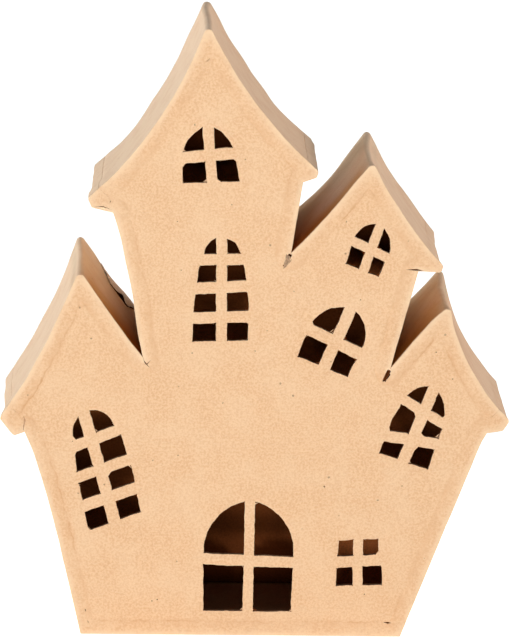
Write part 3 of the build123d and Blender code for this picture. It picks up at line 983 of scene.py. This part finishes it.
def near_slit(spot):
    """Whether a spot lies in one of the slits of the front, or 0.1 mm beside it."""
    plan = np.array((spot.x, spot.z)) / MM
    for begin, middle, end, width in SLITS:
        for corner, other in ((begin, middle), (middle, end)):
            run = np.subtract(other, corner)
            share = np.clip((plan - corner) @ run / (run @ run), 0.0, 1.0)
            if np.linalg.norm(plan - corner - share * run) < 0.5 * width + 0.1:
                return True
    return False


def on_left_slope(down, deep, lift):
    """The place of a spot on the left gable's inner slope, lifted off its paper, in metres."""
    run = np.subtract(LEFT_VALLEY, LEFT_RIDGE)
    length = np.linalg.norm(run)
    along = run / length
    outward = np.array((-along[1], along[0]))
    share = down / length
    raised = PAPER - 4 * LEFT_SLOPE_SAG * share * (1 - share) + lift
    spot = LEFT_RIDGE + along * down + outward * raised
    return spot[0] * MM, deep * MM, spot[1] * MM


def laid_on_left_slope(piece):
    """Lays a flat piece, drawn in (way down, y, lift), on the left gable's inner slope."""
    points = points_of(piece) / MM
    set_points(piece, np.array([on_left_slope(*point) for point in points]))
    turned_outwards(piece)


def tear_open(piece):
    """Cuts the tear through a piece of the left gable."""
    for spots in (TEAR, TEAR_TAIL):
        cutter = outlined_face("tear", [(down * MM, deep * MM) for down, deep in spots])
        thickened(cutter, 7 * MM)
        points = points_of(cutter)
        points[:, 2] -= 5 * MM
        set_points(cutter, points)
        laid_on_left_slope(cutter)
        cut_out(piece, cutter)


def smoothed(piece):
    taken_up(piece)
    bpy.ops.object.shade_smooth_by_angle(angle=SMOOTH_UP_TO)


def handed_over(piece, node):
    """Puts a piece in a node's place and on its body."""
    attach(piece, "root")
    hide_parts(node)


def left_loose(piece, material):
    """Gives a small loose piece its material and puts it on the castle's body."""
    piece.data.materials.append(material)
    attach(piece, "root")


def side_depth(face):
    """How far a face reaches from front to back."""
    depths = [vert.co.y for vert in face.verts]
    return max(depths) - min(depths)


# Operators


class CASTLE_OT_inner_boards(bpy.types.Operator):
    """Make the floor and the folded strips of raw board"""

    bl_idname = "castle.inner_boards"
    bl_label = "Inner boards"

    def execute(self, context):
        own = paper_settings()
        for node in (FLOOR_CARD,) + STRIPS:
            piece = welded_copy(node, node.replace("_strip", "_fold").replace("_panel", "_card"))
            if node == TORN_STRIP:
                tear_open(piece)
            gridded(piece, (0, 1, 2), own.grid_step)
            marked(piece)
            rippled(piece)
            smoothed(piece)
            piece.data.materials.append(floor_material() if node == FLOOR_CARD else inside_material())
            handed_over(piece, node)
        return {"FINISHED"}


class CASTLE_OT_back_card(bpy.types.Operator):
    """Make the back board, covered with kraft paper outside"""

    bl_idname = "castle.back_card"
    bl_label = "Back card"

    def execute(self, context):
        own = paper_settings()
        piece = welded_copy(BACK_CARD, "back_card")
        rear = mesh_box(piece)[1][1]
        rounded(piece, lambda edge: on_rim(edge, rear), own.fold_radius - PAPER * MM, 3)
        gridded(piece, (0, 2), own.grid_step)
        marked(piece)
        rippled(piece)
        smoothed(piece)
        piece.data.materials.append(kraft_material())
        piece.data.materials.append(inside_material())
        for face in piece.data.polygons:
            face.material_index = 1 if face.normal.y < -0.5 else 0
        handed_over(piece, BACK_CARD)
        return {"FINISHED"}


class CASTLE_OT_front_card(bpy.types.Operator):
    """Make the front board with its hand-cut panes"""

    bl_idname = "castle.front_card"
    bl_label = "Front card"

    def execute(self, context):
        own = paper_settings()
        piece = welded_copy(FRONT_CARD, "front_card")
        front = mesh_box(piece)[0][1]
        slit_open(piece, own)
        cut_out(piece, front_cutter(OPEN_SLOT, BOARD_CUT * MM))
        gridded(piece, (0, 2), own.grid_step)
        self.divide_panes(piece)
        self.cut_by_hand(piece, own)
        outer = RIMS[FRONT_CARD][0]

        def at_outline(edge):
            if not on_rim(edge, front):
                return False
            middle = (edge.verts[0].co + edge.verts[1].co) / 2
            return inset_of([(middle.x, middle.z)], outer)[0] < ALONGSIDE * MM

        rounded(piece, at_outline, own.fold_radius - PAPER * MM, 3)
        rounded(piece, lambda edge: on_rim(edge, front), own.pane_radius, 2)
        marked(piece)
        rippled(piece)
        smoothed(piece)
        for material in (kraft_material(), core_material(), inside_material()):
            piece.data.materials.append(material)
        for face in piece.data.polygons:
            face.material_index = self.finish_of(face, front)
        handed_over(piece, FRONT_CARD)
        return {"FINISHED"}

    def finish_of(self, face, front):
        """Kraft outside, cut board at the panes, raw board behind and in the slits."""
        nearest, deepest = RAW_IN_SLIT
        in_slit = nearest * MM < face.center.y - front < deepest * MM and near_slit(face.center)
        if face.normal.y > 0.5 or in_slit:
            return 2
        return 0 if face.normal.y < -0.3 else 1

    def divide_panes(self, piece):
        """Gives the long edges of the panes more corners, to be moved by hand."""
        plan = points_of(piece)[:, [0, 2]]
        nearest = np.min([inset_of(plan, chain) for chain in RIMS[FRONT_CARD][1:]], axis=0)
        at_rim = nearest < TOUCHING * MM

        def on_pane(edge):
            level = abs(edge.verts[0].co.y - edge.verts[1].co.y) < 0.01 * MM
            long = edge.calc_length() > PANE_PART * MM
            return level and long and all(at_rim[vert.index] for vert in edge.verts)

        begin_edit(piece)
        if pick_edges(piece, on_pane):
            bpy.ops.mesh.subdivide(number_cuts=2)
        end_edit()

    def cut_by_hand(self, piece, own):
        """Moves the edges of the panes a little, and their corners a little further."""
        draws = random.Random(own.chance)
        noise.seed_set(own.chance + 1)
        points = points_of(piece)
        plan = points[:, [0, 2]]
        moved = np.zeros_like(plan)
        long_wave, short_wave = (length * MM for length in PANE_WAVES)
        for chain in RIMS[FRONT_CARD][1:]:
            spots = np.array(chain)
            near = eased(1.0 - inset_of(plan, spots) / (PANE_REACH * MM))
            for index in np.nonzero(near)[0]:
                spot = Vector((plan[index, 0], 0.0, plan[index, 1]))
                wander = noise.noise_vector(spot / long_wave) + 0.5 * noise.noise_vector(spot / short_wave)
                moved[index] += np.array((wander.x, wander.z)) * own.pane_wander * near[index]
            for corner, outward in sharp_corners(spots):
                reach = draws.uniform(-0.2, 1.0) * own.overcut
                side = draws.uniform(-0.3, 0.3) * own.overcut
                pull = outward * reach + np.array((-outward[1], outward[0])) * side
                away = np.linalg.norm(plan - corner, axis=1) / (OVERCUT_REACH * MM)
                moved += np.clip(1.0 - away, 0.0, 1.0)[:, None] ** 2 * pull
        points[:, [0, 2]] += moved
        set_points(piece, points)


def sharp_corners(spots):
    """The corners of a closed chain where it turns sharply, and the way out of each."""
    found = []
    for index, spot in enumerate(spots):
        before = spots[index - 1]
        after = spots[(index + 1) % len(spots)]
        arriving = (spot - before) / np.linalg.norm(spot - before)
        leaving = (after - spot) / np.linalg.norm(after - spot)
        if arriving @ leaving < cos(SHARP_FROM):
            outward = arriving - leaving
            found.append((spot, outward / np.linalg.norm(outward)))
    return found


class CASTLE_OT_papers(bpy.types.Operator):
    """Fold the sheets of kraft paper round the boards"""

    bl_idname = "castle.papers"
    bl_label = "Papers"

    def execute(self, context):
        own = paper_settings()
        half_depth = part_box("floor_paper")[1].y
        thickness = half_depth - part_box(BACK_CARD)[1].y

        def at_fold(edge):
            if any(abs(abs(vert.co.y) - half_depth) > TOUCHING * MM for vert in edge.verts):
                return False
            if not any(side_depth(face) > 1.9 * half_depth for face in edge.link_faces):
                return False
            first, last = (vert.co for vert in edge.verts)
            away = inset_of([(spot.x, spot.z) for spot in (first, last, (first + last) / 2)], OUTLINE)
            return bool((abs(away - thickness) < 0.06 * MM).sum() >= 2)

        for node in PAPERS:
            piece = welded_copy(node, node.replace("_paper", "_sheet"))
            rounded(piece, at_fold, own.fold_radius, 4)
            if node == TORN_PAPER:
                tear_open(piece)
            slit_open(piece, own)
            if node in SLOTTED_PAPERS:
                cut_out(piece, front_cutter(OPEN_SLOT, PAPER_CUT * MM))
            gridded(piece, (0, 1, 2), own.grid_step)
            marked(piece)
            self.trim_by_hand(piece, own)
            rippled(piece)
            smoothed(piece)
            piece.data.materials.append(kraft_material())
            handed_over(piece, node)
        return {"FINISHED"}

    def trim_by_hand(self, piece, own):
        """Lets the margins of the turned edges wander."""
        noise.seed_set(own.chance + 1)
        points = points_of(piece)
        inset = inset_of(points[:, [0, 2]], OUTLINE) / MM
        half_depth = np.abs(points[:, 1]).max()
        for index in np.nonzero(inset > WANDERS_FROM)[0]:
            spot = Vector((points[index, 0], 0.0, points[index, 2]))
            wander = noise.noise_vector(spot / (MARGIN_WAVE * MM))
            points[index, 0] += wander.x * own.margin_wander
            points[index, 2] += wander.z * own.margin_wander
            if inset[index] > PRESSED_FROM and abs(points[index, 1]) > half_depth - TOUCHING * MM:
                pressed = own.pressed_edge * (1.0 + 0.2 * wander.y)
                points[index, 1] -= np.sign(points[index, 1]) * pressed
        points[:, 2] = np.maximum(points[:, 2], 0.0)
        set_points(piece, points)


class CASTLE_OT_torn_lap(bpy.types.Operator):
    """Lift the torn lap of the back's paper off the left gable's slope"""

    bl_idname = "castle.torn_lap"
    bl_label = "Torn lap"

    def execute(self, context):
        own = paper_settings()
        noise.seed_set(own.chance + 1)
        piece = outlined_face("torn_lap", [(down * MM, deep * MM) for down, deep in TORN_LAP])
        gridded(piece, (0, 1), 1.1 * MM)
        points = points_of(piece)
        for index, (down, deep, lift) in enumerate(points):
            spot = Vector((down, deep, 0.0)) / MM
            ragged = noise.noise_vector(spot / 1.7)
            broad = noise.noise(spot / 6.0)
            free = max(0.0, min(1.0, (REAR * MM - deep) / (LAP_RISE * MM)))
            points[index, 0] += ragged.x * 0.7 * MM
            points[index, 1] += ragged.y * 0.9 * MM * (deep < 34 * MM)
            points[index, 2] = 0.1 * MM + own.lap_lift * free * (0.75 + 0.6 * broad) + ragged.z * 0.15 * MM
        points[:, 2] = np.maximum(points[:, 2], 0.08 * MM)
        set_points(piece, points)
        thickened(piece, 0.25 * MM)
        laid_on_left_slope(piece)
        marked(piece)
        rippled(piece)
        smoothed(piece)
        left_loose(piece, torn_material())
        return {"FINISHED"}


class CASTLE_OT_valley_scrap(bpy.types.Operator):
    """Press a crumpled scrap of paper into the slit of the middle valley"""

    bl_idname = "castle.valley_scrap"
    bl_label = "Valley scrap"

    def execute(self, context):
        noise.seed_set(paper_settings().chance + 1)
        piece = outlined_face("valley_scrap", [(x * MM, z * MM) for x, z in SCRAP])
        gridded(piece, (0, 1), 0.45 * MM)
        points = points_of(piece)
        for index, (across, rise, _) in enumerate(points):
            crumple = noise.noise_vector(Vector((across, rise, 0.0)) / (0.9 * MM))
            points[index] += np.array(crumple) * (0.16 * MM, 0.16 * MM, 0.22 * MM)
        set_points(piece, points)
        thickened(piece, 0.2 * MM)
        across, rise, lift = points_of(piece).T
        set_points(piece, np.column_stack((across, FRONT * MM + 0.15 * MM - lift, rise)))
        turned_outwards(piece)
        marked(piece)
        rippled(piece)
        left_loose(piece, scrap_material())
        return {"FINISHED"}


def board_front():
    """Where the face of the front board lies."""
    return min(corner[1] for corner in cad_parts[FRONT_CARD].bound_box)


class CASTLE_OT_flecks(bpy.types.Operator):
    """Press the largest bark flecks into the front"""

    bl_idname = "castle.flecks"
    bl_label = "Bark flecks"

    def execute(self, context):
        draws = random.Random(paper_settings().chance)
        front = board_front()
        bpy.ops.object.select_all(action="DESELECT")
        bpy.ops.mesh.primitive_ico_sphere_add(subdivisions=2, radius=MM, location=ORIGIN)
        piece = newly_added("bark_flecks")
        model = points_of(piece) / MM
        faces = [list(face.vertices) for face in piece.data.polygons]
        points = []
        joined = []
        for across, rise, radius in FLECKS:
            shape = model * (radius * draws.uniform(0.7, 1.1), 0.05, radius * draws.uniform(0.45, 0.8))
            turn = Matrix.Rotation(draws.uniform(-1.2, 1.2), 3, "Y")
            joined += [[index + len(points) for index in face] for face in faces]
            points += [tuple(turn @ Vector(spot) + Vector((across, front / MM, rise))) for spot in shape]
        mesh = bpy.data.meshes.new("bark_flecks")
        mesh.from_pydata([[part * MM for part in spot] for spot in points], [], joined)
        piece.data = mesh
        rippled(piece)
        smoothed(piece)
        left_loose(piece, fleck_material())
        return {"FINISHED"}


class CASTLE_OT_fibres(bpy.types.Operator):
    """Fray fibres at the cut edges of the panes"""

    bl_idname = "castle.fibres"
    bl_label = "Frayed fibres"

    def execute(self, context):
        own = paper_settings()
        draws = random.Random(own.chance + 1)
        front = board_front()
        corners = []
        for chain in RIMS[FRONT_CARD][1:]:
            corners += sharp_corners(np.array(chain))
        bpy.ops.object.select_all(action="DESELECT")
        bpy.ops.mesh.primitive_cylinder_add(vertices=5, radius=0.07 * MM, depth=MM, location=ORIGIN)
        piece = newly_added("frayed_fibres")
        begin_edit(piece)
        bpy.ops.mesh.select_all(action="SELECT")
        bpy.ops.mesh.delete(type="VERT")
        for _ in range(own.fibre_count):
            corner, outward = draws.choice(corners)
            across = draws.uniform(-1.3, 1.3) * MM
            spot = corner + np.array((-outward[1], outward[0])) * across - outward * abs(across) * 0.6
            bpy.ops.mesh.primitive_cylinder_add(
                vertices=5,
                radius=draws.uniform(*FRAYED_RADIUS) * MM,
                depth=draws.uniform(*FRAYED_LENGTH) * MM,
                location=(spot[0], front + draws.uniform(-0.02, 0.5) * MM, spot[1]),
                rotation=(draws.uniform(-0.5, 0.5), draws.uniform(-3.1, 3.1), 0.0),
            )
        end_edit()
        rippled(piece)
        smoothed(piece)
        left_loose(piece, fibre_material())
        return {"FINISHED"}


class CASTLE_OT_stage(bpy.types.Operator):
    """Lay the floor, light the castle and stand the camera in front of it"""

    bl_idname = "castle.stage"
    bl_label = "Stage"

    def execute(self, context):
        own = studio()
        self.lay_floor(own)
        self.light(own)
        self.fill_sky(own)
        self.stand_camera(own)
        context.scene.view_settings.view_transform = "Standard"
        return {"FINISHED"}

    def lay_floor(self, own):
        bpy.ops.object.select_all(action="DESELECT")
        bpy.ops.mesh.primitive_plane_add(size=own.floor_size, location=ORIGIN)
        floor_plane = newly_added("studio_floor")
        material, tree, output = fresh_material("pale_floor")
        diffuse = new_node(tree, "BsdfDiffuse", {"Color": (0.9, 0.9, 0.9, 1.0)})
        seen = tree.nodes.new("ShaderNodeLightPath").outputs["Is Camera Ray"]
        glow = new_node(tree, "Emission", {"Strength": product(tree, seen, 0.9)})
        both = tree.nodes.new("ShaderNodeAddShader")
        fed(tree, both.inputs, (diffuse.outputs["BSDF"], glow.outputs["Emission"]))
        tree.links.new(both.outputs["Shader"], output.inputs["Surface"])
        floor_plane.data.materials.append(material)

    def light(self, own):
        target = Vector((0.0, 0.0, 0.12))
        side = own.side_elevation
        for name, azimuth, rise, power, tint in (
            ("front_lamp", -own.front_azimuth, own.front_elevation, own.front_power, (1.0, 1.0, 1.0)),
            ("left_lamp", -own.side_azimuth, side, own.left_power, own.left_tint),
            ("right_lamp", own.side_azimuth, side, own.right_power, own.right_tint),
        ):
            towards = Vector((sin(azimuth) * cos(rise), -cos(azimuth) * cos(rise), sin(rise)))
            lamp = bpy.data.lights.new(name, "AREA")
            lamp.shape = "RECTANGLE"
            lamp.size = own.lamp_width
            lamp.size_y = own.front_height if name == "front_lamp" else own.side_height
            lamp.energy = power
            lamp.color = tint
            holder = bpy.data.objects.new(name, lamp)
            holder.location = target + towards * own.lamp_distance
            holder.rotation_mode = "QUATERNION"
            holder.rotation_quaternion = (-towards).to_track_quat("-Z", "Y")
            bpy.context.scene.collection.objects.link(holder)

    def fill_sky(self, own):
        world = bpy.data.worlds.new("studio_sky")
        bpy.context.scene.world = world
        world.use_nodes = True
        tree = world.node_tree
        tree.nodes.clear()
        output = tree.nodes.new("ShaderNodeOutputWorld")
        place = tree.nodes.new("ShaderNodeTexCoord").outputs["Generated"]
        split = new_node(tree, "SeparateXYZ", {"Vector": place})
        behind = ramped(tree, split.outputs["Y"], -0.3, 0.6)
        low = ramped(tree, split.outputs["Z"], 0.2, 0.7, 1.0, 0.0)
        level = product(tree, behind, low, own.backdrop_level - own.sky_level)
        level = combined(tree, "ADD", level, own.sky_level)
        seen = tree.nodes.new("ShaderNodeLightPath")
        for ray in ("Is Camera Ray", "Is Glossy Ray", "Is Transmission Ray"):
            level = combined(tree, "MAXIMUM", level, seen.outputs[ray])
        sky = new_node(tree, "Background", {"Color": (1.0, 1.0, 1.0, 1.0), "Strength": level})
        tree.links.new(sky.outputs["Background"], output.inputs["Surface"])

    def stand_camera(self, own):
        pitch, yaw, roll = own.camera_pitch, own.camera_yaw, own.camera_roll
        ahead = Vector((sin(yaw) * cos(pitch), cos(yaw) * cos(pitch), -sin(pitch)))
        right = Vector((cos(yaw), -sin(yaw), 0.0))
        above = right.cross(ahead)
        across = right * cos(roll) + above * sin(roll)
        upward = above * cos(roll) - right * sin(roll)
        turn = Matrix((across, upward, -ahead)).transposed()
        lens = bpy.data.cameras.new("studio_camera")
        lens.lens = own.camera_lens
        lens.sensor_width = 36.0
        holder = bpy.data.objects.new("studio_camera", lens)
        holder.matrix_world = Matrix.Translation(own.camera_place) @ turn.to_4x4()
        bpy.context.scene.collection.objects.link(holder)
        bpy.context.scene.camera = holder


class CASTLE_PT_panel(bpy.types.Panel):
    """The steps that dress the castle, in order"""

    bl_idname = "CASTLE_PT_panel"
    bl_label = "Cardboard castle"
    bl_space_type = "VIEW_3D"
    bl_region_type = "UI"
    bl_category = "Castle"

    def draw(self, context):
        for step in STEPS:
            self.layout.operator(step.bl_idname)


STEPS = (
    CASTLE_OT_inner_boards,
    CASTLE_OT_back_card,
    CASTLE_OT_front_card,
    CASTLE_OT_papers,
    CASTLE_OT_torn_lap,
    CASTLE_OT_valley_scrap,
    CASTLE_OT_flecks,
    CASTLE_OT_fibres,
    CASTLE_OT_stage,
)
SETTINGS = (
    ("castle_paper", CastlePaperSettings),
    ("castle_colours", CastleColourSettings),
    ("castle_studio", CastleStudioSettings),
)


def register():
    for name, settings in SETTINGS:
        bpy.utils.register_class(settings)
        setattr(bpy.types.Scene, name, PointerProperty(type=settings))
    for step in STEPS:
        bpy.utils.register_class(step)
    bpy.utils.register_class(CASTLE_PT_panel)


def unregister():
    bpy.utils.unregister_class(CASTLE_PT_panel)
    for step in reversed(STEPS):
        bpy.utils.unregister_class(step)
    for name, settings in reversed(SETTINGS):
        delattr(bpy.types.Scene, name)
        bpy.utils.unregister_class(settings)


def main():
    register()
    bpy.ops.castle.inner_boards()
    bpy.ops.castle.back_card()
    bpy.ops.castle.front_card()
    bpy.ops.castle.papers()
    bpy.ops.castle.torn_lap()
    bpy.ops.castle.valley_scrap()
    bpy.ops.castle.flecks()
    bpy.ops.castle.fibres()
    bpy.ops.castle.stage()


if __name__ == "__main__":
    main()
